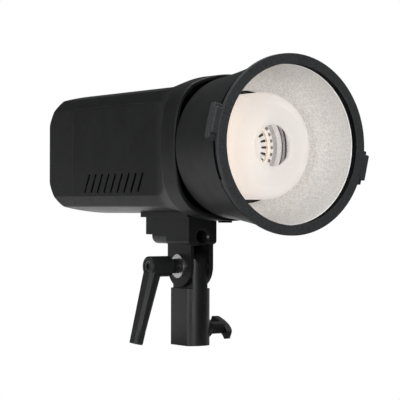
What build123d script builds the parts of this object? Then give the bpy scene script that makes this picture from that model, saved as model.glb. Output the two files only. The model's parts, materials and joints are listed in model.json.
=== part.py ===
from build123d import *
from math import atan2, cos, hypot, radians, sin
import os

# Battery monolight strobe with a standard reflector, on a tilting stand bracket.
# Millimetres. Origin at the centre of the stand socket's mouth, +Z up along the socket,
# +X the way the light shines, +Y the side that the battery slides out of.

# Driving dimensions ---------------------------------------------------------
AXIS_Z = 168.0  # height of the optical axis above the socket's mouth
TILT_Z = 68.0  # height of the tilt axis
FREE = 0.4  # usual gap between neighbouring loose parts
RUN = 0.05  # radial clearance of a running fit

# Stand bracket
SOCKET_R = 17.3  # round front and back of the socket
SOCKET_FLAT = 11.5  # half the width across its two side flats
SHOULDER_Z = 49.0  # where the socket ends and the neck begins
NECK_HALF = 7.5
SPIGOT_R = 8.1  # takes a 16 mm (5/8 inch) stand spigot
SPIGOT_DEPTH = 40.0
EAR_INNER = 8.2
EAR_OUTER = 11.7
EAR_R = 18.0
BOLT_R = 4.0  # M8 tilt bolt
BLOCK_HALF = 14.3
BLOCK_BACK = -49.7
BLOCK_FRONT = 19.2
BLOCK_TOP = 109.7
BLOCK_STEP_X = -17.0  # the rear part of the block is shallower
BLOCK_STEP_Z = 94.6
BLOCK_BOTTOM = 86.3
UMBRELLA_Z = 93.5
UMBRELLA_R = 5.2  # takes 8 to 10 mm umbrella shafts
UMBRELLA_SLEEVE_R = 7.0
UMBRELLA_SINK = 1.4  # depth and width of the countersink round its front end
UMBRELLA_SCREW_R = 2.0
UMBRELLA_SCREW_X = -8.0

# Clamping lever on the tilt bolt
LEVER_NECK_R = 6.25
LEVER_HUB_R = 8.8
LEVER_NECK_Y = -13.6
LEVER_HUB_Y = -21.3
LEVER_END_Y = -43.5
LEVER_REACH = 65.0
LEVER_SPLAY = 15.2  # degrees the arm leans away from the bracket

# Spigot clamp knob
KNOB_Z = 13.8
KNOB_SCREW_R = 4.0
KNOB_SCREW_END = 31.0
KNOB_BOSS_END = 18.5
KNOB_STEM_R = 5.4
WING_Y = 32.0  # hollow side of the wing at its middle
WING_HALF = 15.0
WING_WIDTH = 8.4
WING_LEAN = 29.0  # degrees that the wing's +X end points down

# Housing
SEAM_X = -131.0  # rear cover meets main housing
SEAM_GROOVE = 0.45
REAR_X = -180.0
FLARE_BACK = 14.0  # where the housing starts to flare towards the ring
RING_BACK = 43.0
RING_FRONT = 63.0
WALL = 3.0
FACET_ROUND = 2.5
REAR_ROUND = 48.2  # radius of the rear cover's top and bottom in side view
PANEL_TOP = 39.5  # half the height of the flat side panel
PANEL_FRONT = 12.0
PANEL_Y = -42.8
SLOT_FIRST_X = -104.9  # middle of the first vent slot
SLOT_PITCH = 11.48
SLOT_Z = AXIS_Z - 28.3
SLOT_RISE = 17.2
SLOT_RUN = 9.15

# Half outline points (y, z) of the two housing sections, from the side to the roof
BODY_SECTION = [(43.0, 0.0), (42.85, 39.5), (41.15, 44.35), (39.0, 49.0), (0.0, 54.8)]
RING_SECTION = [(57.5, 0.0), (54.2, 30.0), (48.4, 42.6), (39.0, 52.0), (0.0, 61.0)]
SECTION_NORMALS = [(1.0, 0.0), (1.0, 0.2), (0.9, 0.45), (0.5, 0.9), (0.0, 1.0)]

# Battery
BATTERY_X = (-122.0, 4.0)
BATTERY_Y = (10.0, 42.7)
BATTERY_HALF = 36.0

FAN_X = -57.0
FAN_Z = AXIS_Z - 20.0

# Rear controls
CONTROL_X = -173.0  # face of the control panel
CONTROL_HALF_Y = 35.0
CONTROL_HALF_Z = 34.0
DIAL_Z = AXIS_Z - 17.0
DIAL_R = 12.0
BUTTON_Y = 24.0
BUTTON_ROWS = (AXIS_Z - 9.0, AXIS_Z - 25.0)

# Lamp
DOME_R = 43.4
DOME_BACK = 60.0
DOME_FRONT = 122.0
DOME_SHOULDER_X = 118.0
DOME_WALL = 2.5
WINDOW_R = 16.9
LED_X = 79.0
CHIP_RING_R = 26.6
CHIP_COUNT = 30
MOUNT_SCREW_ANGLES = (15, 105, 195, 285)
TUBE_ARC = 330.0
TUBE_LEG_ANGLES = (-75.0, -105.0)  # the two ends of the arc
TUBE_RING_R = 32.6
TUBE_R = 2.2

# Reflector
NECK_R = 48.9
LUG_ANGLES = (15, 135, 255)  # bayonet lugs on the neck
LUG_WIDTH = 24.0  # degrees
LUG_TWIST = 35.0  # turn that brings the lugs to the gaps
BARREL_BACK = 68.0
BARREL_BACK_R = 59.0
BARREL_FRONT = 136.0
BARREL_FRONT_R = 68.5
BOWL_BACK = 82.0
BOWL_BACK_R = 46.3
BOWL_JOINT = 103.0  # the collar ends and the front part begins
BOWL_FRONT = 141.5
BOWL_FRONT_R = 64.4
RIM_X = 148.0
RIM_R = 72.0
RIM_INNER_R = 63.8
TAB_ANGLE = -13.2  # the grip tabs lie on a line this far from level
TAB_LENGTH = 21.0
TAB_R = 77.4
TAB_BACK = 144.8
GRIP_BACK = 132.5
GRIP_FRONT = 143.8
GRIP_R = 77.0


# Building blocks ------------------------------------------------------------
def block(x0, x1, y0, y1, z0, z1):
    """Box between two corners."""
    size = (x1 - x0, y1 - y0, z1 - z0)
    return Pos((x0 + x1) / 2, (y0 + y1) / 2, (z0 + z1) / 2) * Box(*size)


def rod_x(radius, x0, x1, y=0.0, z=AXIS_Z):
    """Cylinder along X."""
    return Pos((x0 + x1) / 2, y, z) * Rot(0, 90, 0) * Cylinder(radius, abs(x1 - x0))


def rod_y(radius, y0, y1, x=0.0, z=TILT_Z):
    """Cylinder along Y."""
    return Pos(x, (y0 + y1) / 2, z) * Rot(90, 0, 0) * Cylinder(radius, abs(y1 - y0))


def rod_z(radius, z0, z1, x=0.0, y=0.0):
    """Cylinder along Z."""
    return Pos(x, y, (z0 + z1) / 2) * Cylinder(radius, abs(z1 - z0))


def tube_x(outer, inner, x0, x1, y=0.0, z=AXIS_Z):
    """Tube along X."""
    return rod_x(outer, x0, x1, y, z) - rod_x(inner, x0 - 1, x1 + 1, y, z)


def hexagon(across):
    """Hexagon sketch by its width across flats."""
    return RegularPolygon(across / 2, 6, major_radius=False)


def hex_y(across, y0, y1):
    """Hexagonal bar along Y on the tilt axis."""
    return extrude(Plane(origin=(0, y0, TILT_Z), z_dir=(0, 1, 0)) * hexagon(across), y1 - y0)


def hex_x(across, x0, x1, y, z):
    """Hexagonal bar along X."""
    return extrude(Plane(origin=(x0, y, z), z_dir=(1, 0, 0)) * hexagon(across), x1 - x0)


def around_axis(part, angle):
    """Turns a part about the optical axis."""
    return Pos(0, 0, AXIS_Z) * Rot(angle, 0, 0) * Pos(0, 0, -AXIS_Z) * part


def turned(edges):
    """Solid of revolution about the optical axis from a closed profile of edges."""
    return revolve(make_face(edges), Axis((0, 0, AXIS_Z), (1, 0, 0)))


def at(x, radius):
    """Profile point at a distance from the optical axis."""
    return (x, 0, AXIS_Z + radius)


def loop(*points):
    """Closed straight-sided profile through (x, radius) points."""
    return Polyline(*[at(*p) for p in points], close=True)


def save(**nodes):
    """Writes each part to its own STEP file."""
    for name, shape in nodes.items():
        export_step(shape, f"parts/{name}.step")


# Housing outline ------------------------------------------------------------
def section_points(blend, inset):
    """Quarter outline between the body section and the ring section, moved inwards."""
    points = []
    for body, ring, normal in zip(BODY_SECTION, RING_SECTION, SECTION_NORMALS):
        y = body[0] + (ring[0] - body[0]) * blend - normal[0] * inset
        z = body[1] + (ring[1] - body[1]) * blend - normal[1] * inset
        points.append((max(y, 0.0), max(z, 0.0)))
    return points


def outline(x, blend=0.0, inset=0.0, rounding=FACET_ROUND):
    """Closed outline of the housing across the optical axis at x."""
    side, low, facet, eave, roof = section_points(blend, inset)

    def corner(point, sy, sz):
        return (point[0] * sy, point[1] * sz)

    edges = []
    edges.append(ThreePointArc(corner(low, 1, -1), corner(side, 1, 1), corner(low, 1, 1)))
    edges.append(ThreePointArc(corner(low, 1, 1), corner(facet, 1, 1), corner(eave, 1, 1)))
    edges.append(ThreePointArc(corner(eave, 1, 1), corner(roof, 1, 1), corner(eave, -1, 1)))
    edges.append(ThreePointArc(corner(eave, -1, 1), corner(facet, -1, 1), corner(low, -1, 1)))
    edges.append(ThreePointArc(corner(low, -1, 1), corner(side, -1, 1), corner(low, -1, -1)))
    edges.append(ThreePointArc(corner(low, -1, -1), corner(facet, -1, -1), corner(eave, -1, -1)))
    edges.append(ThreePointArc(corner(eave, -1, -1), corner(roof, 1, -1), corner(eave, 1, -1)))
    edges.append(ThreePointArc(corner(eave, 1, -1), corner(facet, 1, -1), corner(low, 1, -1)))
    sketch = make_face(edges)
    sketch = fillet(sketch.vertices(), rounding)
    return Plane(origin=(x, 0, AXIS_Z), x_dir=(0, 1, 0), z_dir=(1, 0, 0)) * sketch


def housing_envelope(back, inset):
    """Body, flare and front ring as one solid, moved inwards by inset."""
    body = extrude(outline(back, 0.0, inset), FLARE_BACK - back)
    span = RING_BACK - FLARE_BACK
    steps = [(0.0, 0.0), (0.33, 0.16), (0.7, 0.62), (1.0, 1.0)]
    flare = loft([outline(FLARE_BACK + span * s, blend, inset) for s, blend in steps])
    ring = extrude(outline(RING_BACK, 1.0, inset), RING_FRONT - RING_BACK)
    return body + flare + ring


def rear_envelope(inset):
    """Rear end: the body section closed by a large round at top and bottom."""
    bar = extrude(outline(REAR_X - 5, 0.0, inset), SEAM_X - REAR_X + 5)
    radius = REAR_ROUND - inset
    centre_x = REAR_X + REAR_ROUND
    drop = 55.0 - REAR_ROUND
    mid = radius * cos(radians(45))
    top = AXIS_Z + drop
    bottom = AXIS_Z - drop
    front = SEAM_X + 1
    rear = centre_x - radius
    edges = [
        Polyline((centre_x, 0, bottom - radius), (front, 0, bottom - radius), (front, 0, top + radius),
                 (centre_x, 0, top + radius)),
        ThreePointArc((centre_x, 0, top + radius), (centre_x - mid, 0, top + mid), (rear, 0, top)),
        Line((rear, 0, top), (rear, 0, bottom)),
        ThreePointArc((rear, 0, bottom), (centre_x - mid, 0, bottom - mid),
                      (centre_x, 0, bottom - radius)),
    ]
    side_view = extrude(make_face(edges), 60, both=True)
    plan_sketch = Pos((REAR_X + inset + SEAM_X + 20) / 2, 0) * RectangleRounded(
        SEAM_X + 20 - REAR_X - inset, 2 * (43.0 - inset), 6.0)
    plan_view = extrude(Plane.XY * plan_sketch, 300)
    return bar & side_view & plan_view


# Stand bracket --------------------------------------------------------------
def stand_socket():
    """Socket with two side flats, a round-topped neck and a boss for the clamp screw."""
    column = rod_z(SOCKET_R, 0, TILT_Z + SOCKET_R)
    flats = block(-20, 20, -SOCKET_FLAT, SOCKET_FLAT, 0, SHOULDER_Z)
    neck_slab = block(-20, 20, -NECK_HALF, NECK_HALF, 0, TILT_Z)
    neck_top = rod_y(SOCKET_R, -NECK_HALF, NECK_HALF)
    body = (column & flats) + (column & (neck_slab + neck_top))
    body = body + rod_y(8.0, 8.5, KNOB_BOSS_END, z=KNOB_Z)
    body = body - rod_z(SPIGOT_R, -1, SPIGOT_DEPTH)
    body = body - rod_y(BOLT_R + RUN, -20, 20)
    return body - rod_y(KNOB_SCREW_R + RUN, 0, 25, z=KNOB_Z)


def friction_discs():
    """Fibre disc on each side of the neck."""
    discs = []
    for side in (-1, 1):
        disc = rod_y(15.5, side * NECK_HALF, side * (NECK_HALF + 0.5)) - rod_y(BOLT_R + 0.3, -20, 20)
        discs.append(disc)
    return Compound(discs)


def thrust_pad():
    """Brass pad that the clamp screw presses on the spigot."""
    return rod_y(KNOB_SCREW_R - 0.1, 8.4, 10.4, z=KNOB_Z)


def clamp_screw():
    """Threaded rod of the clamp knob."""
    return rod_y(KNOB_SCREW_R, 10.6, KNOB_SCREW_END, z=KNOB_Z)


def clamp_wing():
    """Stem and crescent-shaped cross wing that the fingers turn."""
    stem = rod_y(KNOB_STEM_R, KNOB_BOSS_END + 0.7, WING_Y + 1.5, z=KNOB_Z)
    hollow = ThreePointArc((-WING_HALF, WING_Y - 4), (0, WING_Y), (WING_HALF, WING_Y - 4))
    back = ThreePointArc((WING_HALF, WING_Y + 1.5), (0, WING_Y + 6), (-WING_HALF, WING_Y + 1.5))
    outline_edges = [hollow, Line(hollow @ 1, back @ 0), back, Line(back @ 1, hollow @ 0)]
    wing = extrude(Plane.XY * make_face(outline_edges), WING_WIDTH / 2, both=True)
    wing = fillet(wing.edges().filter_by(Axis.Z), 2.4)
    rounded = extrude(Plane.XZ * SlotOverall(2 * WING_HALF, WING_WIDTH), 60, both=True)
    wing = Pos(0, 0, KNOB_Z) * Rot(0, WING_LEAN, 0) * (wing & rounded)
    return stem + wing - rod_y(KNOB_SCREW_R, 10, KNOB_SCREW_END, z=KNOB_Z)


def bracket_yoke():
    """Block with the umbrella hole and two ears that straddle the neck."""
    rear = block(BLOCK_BACK, BLOCK_FRONT, -BLOCK_HALF, BLOCK_HALF, BLOCK_STEP_Z, BLOCK_TOP)
    front = block(BLOCK_STEP_X, BLOCK_FRONT, -BLOCK_HALF, BLOCK_HALF, BLOCK_BOTTOM, BLOCK_TOP)
    bottom_edges = front.faces().sort_by(Axis.Z)[0].edges()
    front = fillet(bottom_edges.filter_by(Axis.X) + bottom_edges.sort_by(Axis.X)[-1:], 3.5)
    body = rear + front
    for side in (-1, 1):
        y0 = min(side * EAR_INNER, side * EAR_OUTER)
        y1 = max(side * EAR_INNER, side * EAR_OUTER)
        ear = rod_y(EAR_R, y0, y1) + block(-EAR_R, EAR_R, y0, y1, TILT_Z, BLOCK_BOTTOM + 6)
        body = body + ear
    body = body - rod_y(BOLT_R + RUN, -20, 20)
    body = body - hex_y(13.2, EAR_OUTER - 1.5, 20)
    body = body - rod_x(UMBRELLA_SLEEVE_R, -60, 30, z=UMBRELLA_Z)
    for x, y in base_screw_places():
        body = body - rod_z(1.6, 80, 120, x, y) - rod_z(2.9, 80, BLOCK_STEP_Z + 3.2, x, y)
    return body - rod_y(UMBRELLA_SCREW_R + RUN, 0, 20, UMBRELLA_SCREW_X, UMBRELLA_Z)


def base_screw_places():
    """Centres of the four screws that hold the bracket to the housing."""
    return [(x, y) for x in (-45.0, -23.0) for y in (-10.9, 10.9)]


def base_screws():
    """Four cap screws from below, through the block and base plate into the chassis."""
    screws = []
    for x, y in base_screw_places():
        head = rod_z(2.75, BLOCK_STEP_Z + 0.3, BLOCK_STEP_Z + 3.2, x, y)
        shank = rod_z(1.5, BLOCK_STEP_Z + 3.2, 124.5, x, y)
        socket = extrude(Plane(origin=(x, y, BLOCK_STEP_Z)) * RegularPolygon(1.25, 6), 2.0)
        screws.append(head + shank - socket)
    return Compound(screws)


def base_plate():
    """Plate between the block and the housing's underside, cut to the belly's curve."""
    plate = block(BLOCK_BACK - 4, BLOCK_FRONT + 3, -17.5, 17.5, BLOCK_TOP, 116.0)
    plate = plate - housing_envelope(SEAM_X, 0.0)
    for x, y in base_screw_places():
        plate = plate - rod_z(1.6, 80, 130, x, y)
    return plate


def umbrella_sleeve():
    """Metal liner of the umbrella hole, countersunk at the front."""
    sleeve = rod_x(UMBRELLA_SLEEVE_R, -51.2, BLOCK_FRONT, z=UMBRELLA_Z)
    sleeve = sleeve - rod_x(UMBRELLA_R, -60, 30, z=UMBRELLA_Z)
    flare = Cone(UMBRELLA_R, UMBRELLA_R + UMBRELLA_SINK, UMBRELLA_SINK)
    countersink = Pos(BLOCK_FRONT - UMBRELLA_SINK / 2, 0, UMBRELLA_Z) * Rot(0, 90, 0) * flare
    return sleeve - countersink - rod_y(UMBRELLA_SCREW_R + RUN, 0, 20, UMBRELLA_SCREW_X, UMBRELLA_Z)


def umbrella_pad():
    """Nylon tip that the thumbscrew presses on the umbrella shaft."""
    return rod_y(UMBRELLA_SCREW_R - 0.1, UMBRELLA_R + 0.1, UMBRELLA_R + 1.1, UMBRELLA_SCREW_X, UMBRELLA_Z)


def umbrella_screw():
    """Knurled thumbscrew that locks the umbrella shaft."""
    radius = 4.5
    inner = BLOCK_HALF + 0.6
    knob = rod_y(radius, inner, inner + 8.0, UMBRELLA_SCREW_X, UMBRELLA_Z)
    for k in range(18):
        angle = radians(20 * k)
        x = UMBRELLA_SCREW_X + (radius + 0.15) * cos(angle)
        z = UMBRELLA_Z + (radius + 0.15) * sin(angle)
        knob = knob - rod_y(0.4, inner - 1, inner + 9, x, z)
    return knob + rod_y(UMBRELLA_SCREW_R, UMBRELLA_R + 1.2, inner + 0.5, UMBRELLA_SCREW_X, UMBRELLA_Z)


def tilt_bolt():
    """M8 hexagon bolt, its head let into the far ear."""
    return rod_y(BOLT_R, -26.0, EAR_OUTER) + hex_y(13.0, EAR_OUTER - 1.5, EAR_OUTER + 4.0)


def thrust_washer():
    """Bright washer between the ear and the lever."""
    washer = rod_y(10.2, -13.5, -EAR_OUTER) - rod_y(BOLT_R + 0.2, -20, 0)
    return washer


# Clamping lever -------------------------------------------------------------
def lever_insert():
    """Steel insert threaded on the tilt bolt, toothed inside the lever's hub."""
    neck = rod_y(LEVER_NECK_R, LEVER_HUB_Y, LEVER_NECK_Y)
    toothed = rod_y(6.3, -31.0, LEVER_HUB_Y)
    for k in range(16):
        angle = radians(22.5 * k)
        x = 6.4 * cos(angle)
        z = TILT_Z + 6.4 * sin(angle)
        toothed = toothed - rod_y(0.5, -31.5, LEVER_HUB_Y - 0.5, x, z)
    body = neck + toothed
    body = body - rod_y(BOLT_R + RUN, -26.6, -10)
    return body - rod_y(2.5, -32, -26)


def lever_screw():
    """Socket screw that keeps the lever and its spring on the insert."""
    head = rod_y(5.0, -43.0, -40.0)
    head = chamfer(head.edges().sort_by(Axis.Y)[0], 0.7)
    shank = rod_y(2.5, -40.0, -27.0)
    return head + shank - hex_y(5.0, -43.5, -41.0)


def lever_spring():
    """Compression spring under the screw head."""
    coil_radius = 3.9
    wire = 0.35
    turns = 3.5
    length = 5.6
    helix = Helix(length / turns, length, coil_radius, center=(0, 0, 0), direction=(0, 0, 1))
    profile = Plane(origin=helix @ 0, z_dir=helix % 0) * Circle(wire)
    spring = sweep(profile, helix, is_frenet=True)
    return Pos(0, -33.9, TILT_Z) * Rot(90, 0, 0) * spring


def lever_handle():
    """Die-cast hub and tapering arm with bevelled edges."""
    hub = rod_y(LEVER_HUB_R, LEVER_END_Y, LEVER_HUB_Y)
    hub = fillet(hub.edges().filter_by(GeomType.CIRCLE), 1.6)
    splay = radians(LEVER_SPLAY)
    down = (0.0, -sin(splay), -cos(splay))
    start = (0.0, -37.2, TILT_Z)
    reach = LEVER_REACH / cos(splay)
    sections = []
    for along, width, depth in ((3.0, 16.0, 11.4), (reach, 11.8, 8.4)):
        origin = tuple(start[i] + down[i] * along for i in range(3))
        plane = Plane(origin=origin, x_dir=(1, 0, 0), z_dir=down)
        sections.append(plane * chamfer(Rectangle(width, depth).vertices(), depth * 0.26))
    arm = loft(sections)
    foot_at = tuple(start[i] + down[i] * (reach - 5.5) for i in range(3))
    foot = Plane(origin=foot_at, x_dir=(1, 0, 0), z_dir=down) * Pos(5.4, 0, 0) * Box(3.0, 5.4, 10.0)
    body = hub + arm + foot
    body = body - rod_y(6.7, -31.4, LEVER_HUB_Y + 1)
    body = body - rod_y(3.0, -35, -30)
    return body - rod_y(5.6, LEVER_END_Y - 1, -33.4)


# Housing --------------------------------------------------------------------
def main_housing():
    """Shell from the seam to the front ring, with the side panel's pocket and battery opening."""
    shell = housing_envelope(SEAM_X, 0.0) - housing_envelope(SEAM_X - 1, WALL)
    shell = shell - extrude(outline(RING_BACK + 6, 1.0, WALL), 20)
    flange = extrude(outline(40.0, 0.9, 1.0), 4.0) - rod_x(45.5, 30, 50)
    shell = shell + flange
    pocket = panel_shape(0.25, 1.5)
    shell = shell - pocket
    shell = shell - block(-108, -4, -50, -30, AXIS_Z - 38, AXIS_Z - 18)
    x0, x1 = BATTERY_X
    half = BATTERY_HALF + FREE
    shell = shell - block(x0 - FREE, x1 + FREE, 36, 50, AXIS_Z - half, AXIS_Z + half)
    shell = shell - block(46.6, 56.3, -5.3, 5.3, 100, 112)
    for angle in MOUNT_SCREW_ANGLES:
        shell = shell - around_axis(rod_x(1.45, 38, 46, y=47.8), angle)
    for x, y in base_screw_places():
        shell = shell - rod_z(1.6, 100, 120, x, y)
    front_loop = shell.faces().sort_by(Axis.X)[-1].outer_wire()
    shell = chamfer(front_loop.edges(), 0.8)
    return chamfer(seam_edges(shell, SEAM_X), SEAM_GROOVE)


def seam_edges(shell, x):
    """Outer edges of a shell's end face at x."""
    ends = shell.faces().filter_by(Axis.X).filter_by_position(Axis.X, x - 0.01, x + 0.01)
    return ends.sort_by(SortBy.AREA)[-1].outer_wire().edges()


def panel_shape(grow, depth):
    """Side panel blank with rounded front corners, enlarged by grow."""
    length = PANEL_FRONT - SEAM_X + grow
    height = 2 * (PANEL_TOP - 0.6 + grow)
    plane = Plane(origin=(SEAM_X + length / 2, PANEL_Y - 0.6 * (grow > 0), AXIS_Z),
                  x_dir=(1, 0, 0), z_dir=(0, 1, 0))
    blank = extrude(plane * Rectangle(length, height), depth + 0.6 * (grow > 0))
    front_edges = blank.edges().filter_by(Axis.Y).group_by(Axis.X)[-1]
    return fillet(front_edges, 7.0 + grow)


def side_panel():
    """Smooth panel with a row of nine slanted vent slots."""
    panel = panel_shape(0.0, 1.3)
    lean = atan2(SLOT_RISE, SLOT_RUN)
    slot = SlotOverall(hypot(SLOT_RISE, SLOT_RUN), 3.0)
    for k in range(9):
        origin = (SLOT_FIRST_X + SLOT_PITCH * k, PANEL_Y - 1, SLOT_Z)
        plane = Plane(origin=origin, x_dir=(cos(lean), 0, sin(lean)), z_dir=(0, 1, 0))
        panel = panel - extrude(plane * slot, 4)
    return panel


def housing_screw_places():
    """Centres (y, z) of the four screws through the rear cover."""
    return [(y, AXIS_Z + z) for y in (-32.0, 32.0) for z in (-40.0, 40.0)]


def rear_cover():
    """Rear shell with an opening for the control panel, a port recess and screw wells."""
    shell = rear_envelope(0.0) - (rear_envelope(WALL) + extrude(outline(SEAM_X - 12, 0.0, WALL), 20))
    opening = block(REAR_X - 5, CONTROL_X + 1.6, -CONTROL_HALF_Y, CONTROL_HALF_Y,
                    AXIS_Z - CONTROL_HALF_Z, AXIS_Z + CONTROL_HALF_Z)
    ledge = block(CONTROL_X + 1.6, CONTROL_X + 3.6, -CONTROL_HALF_Y - 4, CONTROL_HALF_Y + 4,
                  AXIS_Z - CONTROL_HALF_Z - 4, AXIS_Z + CONTROL_HALF_Z + 4) & rear_envelope(1.0)
    cheeks = block(REAR_X - 1, CONTROL_X + 3.6, -CONTROL_HALF_Y - 2, CONTROL_HALF_Y + 2,
                   AXIS_Z - CONTROL_HALF_Z - 2, AXIS_Z + CONTROL_HALF_Z + 2) & rear_envelope(1.0)
    window = block(REAR_X - 5, -150, -31, 31, AXIS_Z - 30, AXIS_Z + 30)
    shell = shell + cheeks + ledge - opening - window
    for y, z in housing_screw_places():
        well = (rod_x(5.0, REAR_X, SEAM_X, y, z) & rear_envelope(0.5)) - rod_x(3.0, REAR_X - 1, -146, y, z)
        shell = shell - rod_x(3.0, REAR_X - 1, -146, y, z) + well - rod_x(1.6, REAR_X, -120, y, z)
    shell = chamfer(seam_edges(shell, SEAM_X), SEAM_GROOVE)
    shell = shell - block(-161.5, -143.5, 40.6, 50, AXIS_Z - 13, AXIS_Z + 13)
    return shell - block(-158.5, -145.5, 30, 50, AXIS_Z - 11, AXIS_Z + 11)


def housing_screws():
    """Four long screws that join the rear cover to the chassis."""
    screws = []
    for y, z in housing_screw_places():
        head = rod_x(2.6, -149.0, -146.0, y, z)
        shank = rod_x(1.5, -146.0, -127.0, y, z)
        screws.append(head + shank - hex_x(2.5, -149.5, -147.5, y, z))
    return Compound(screws)


def port_block():
    """Sync jack and charging port block behind the flap."""
    body = block(-158.2, -145.8, 31.0, 40.0, AXIS_Z - 10.7, AXIS_Z + 10.7)
    body = body - rod_y(1.8, 33, 45, x=-152, z=AXIS_Z + 5.5)
    slot = Plane(origin=(-152, 34, AXIS_Z - 4.5), x_dir=(0, 0, 1), z_dir=(0, 1, 0)) * SlotOverall(9.0, 3.2)
    return body - extrude(slot, 10)


def port_flap():
    """Rubber flap over the ports, hinged along its rear edge."""
    plate = block(-159.8, -143.9, 40.9, 42.5, AXIS_Z - 12.6, AXIS_Z + 12.6)
    hinge = rod_z(0.8, AXIS_Z - 12.6, AXIS_Z + 12.6, -160.3, 41.7)
    lip = block(-146.0, -144.6, 42.5, 43.0, AXIS_Z - 4, AXIS_Z + 4)
    return plate + hinge + lip


def chassis():
    """Sheet frame between two bulkheads that carries the boards, battery bay and bracket."""
    rear = extrude(outline(-130.0, 0.0, WALL + 0.5), 2.5)
    rear = rear - block(-131, -127, -22, 22, AXIS_Z - 30, AXIS_Z + 30)
    front = block(30.0, 32.0, -30.0, 30.0, 119.5, 216.5) - rod_x(33.8, 20, 40)
    floor = block(-128.0, 31.0, -30.0, 4.0, 121.0, 123.5)
    roof = block(-128.0, 31.0, -30.0, 4.0, 212.5, 215.0)
    frame = rear + front + floor + roof
    for y, z in housing_screw_places():
        frame = frame - rod_x(1.55, -132, -126, y, z)
    for x, y in base_screw_places():
        frame = frame - rod_z(1.55, 100, 126, x, y)
    return frame


# Front mount ----------------------------------------------------------------
def lug_sector(x0, x1, inner, outer, centre, width):
    """Piece of a ring, width degrees wide, about the optical axis."""
    ring = tube_x(outer, inner, x0, x1)
    start = Plane(origin=(x0 - 1, 0, AXIS_Z), x_dir=(0, 1, 0), z_dir=(1, 0, 0))
    half = radians(width / 2)
    reach = outer * 1.5 * cos(half)
    side = outer * 1.5 * sin(half)
    wedge = make_face(Polyline((0, 0), (reach, -side), (reach, side), close=True))
    return around_axis(ring & extrude(start * wedge, x1 - x0 + 2), centre)


def mount_ring():
    """Metal bayonet ring that the reflector twists into."""
    disc = tube_x(53.5, 45.1, 44.0, 48.0)
    collar = tube_x(53.5, 50.8, 48.0, 60.0)
    lip = tube_x(51.5, NECK_R + 0.3, 57.2, 60.0)
    for angle in LUG_ANGLES:
        lip = lip - lug_sector(57, 61, 48, 51.2, angle + LUG_TWIST, LUG_WIDTH + 6)
    body = disc + collar + lip
    for angle in MOUNT_SCREW_ANGLES:
        body = body - around_axis(rod_x(1.5, 40, 50, y=47.8), angle)
    return body


def mount_screws():
    """Four countersunk screws that hold the bayonet ring to the housing."""
    screws = []
    for angle in MOUNT_SCREW_ANGLES:
        screw = rod_x(1.4, 40.5, 48.0, y=47.8) + rod_x(2.3, 48.0, 49.0, y=47.8)
        screw = screw - hex_x(1.6, 48.4, 50, 47.8, AXIS_Z)
        screws.append(around_axis(screw, angle))
    return Compound(screws)


def mount_release():
    """Thumb slide under the ring that frees the reflector."""
    slide = block(50.0, 56.0, -5.0, 5.0, 105.6, 110.7)
    for k in range(3):
        slide = slide - block(51.0 + 1.7 * k, 51.8 + 1.7 * k, -6, 6, 105, 106.2)
    return slide + block(48.5, 57.5, -7.5, 7.5, 110.7, 112.0)


# Lamp -----------------------------------------------------------------------
def lamp_base():
    """Moulded base clamped behind the housing's front flange."""
    profile = loop((36, 30), (36, 50), (39.9, 50), (39.9, 44.6), (60, 44.6), (60, 29.5), (79, 29.5),
                   (79, 25.5), (57, 25.5), (57, 41), (43, 41), (43, 30))
    return turned(profile)


def heat_sink():
    """Finned cooler behind the modelling lamp."""
    core = rod_x(25.0, 33.0, 78.0)
    core = core - rod_x(19.0, 36.0, 74.0)
    base = rod_x(33.0, 33.0, 35.9)
    fins = []
    for k in range(9):
        y = -28.0 + 7.0 * k
        fins.append(block(13.0, 33.2, y - 0.8, y + 0.8, AXIS_Z - 33, AXIS_Z + 33))
    envelope = rod_x(33.0, 12.0, 34.0)
    for fin in fins:
        base = base + (fin & envelope)
    return base + core


def led_board():
    """Round aluminium-backed board."""
    return rod_x(29.0, LED_X + 0.1, LED_X + 1.7) - rod_x(1.2, LED_X - 1, LED_X + 3, y=8, z=AXIS_Z + 14)


def led_chips():
    """Ring of small square emitters."""
    chips = []
    half = 1.25
    for k in range(CHIP_COUNT):
        chip = Pos(LED_X + 2.15, CHIP_RING_R, AXIS_Z) * Box(0.9, 2 * half, 2 * half)
        chips.append(around_axis(chip, 360 / CHIP_COUNT * k))
    return Compound(chips)


def centre_lens():
    """Bright reflector cup over the board's centre and the lens button inside it."""
    cup = turned(loop((LED_X + 1.7, 19.0), (LED_X + 1.7, 23.0), (LED_X + 5.0, 23.8), (LED_X + 5.0, 23.0)))
    button = turned(loop((LED_X + 1.7, 0.0), (LED_X + 1.7, 18.5), (LED_X + 2.4, 18.5), (LED_X + 4.2, 0.0)))
    return Compound([cup, button])


def flash_tube():
    """Ring-shaped discharge tube with two legs into the base."""
    start = Plane(origin=(LED_X + 5.5, 0, AXIS_Z + TUBE_RING_R), x_dir=(1, 0, 0), z_dir=(0, -1, 0))
    ring = revolve(start * Circle(TUBE_R), Axis((0, 0, AXIS_Z), (1, 0, 0)), TUBE_ARC)
    body = around_axis(ring, 180 + (360 - TUBE_ARC) / 2)
    for angle in TUBE_LEG_ANGLES:
        y = TUBE_RING_R * cos(radians(angle))
        z = AXIS_Z + TUBE_RING_R * sin(radians(angle))
        leg = rod_x(TUBE_R, LED_X - 8.0, LED_X + 5.5, y, z)
        body = body + leg + Pos(LED_X + 5.5, y, z) * Sphere(TUBE_R)
    return body


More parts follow.
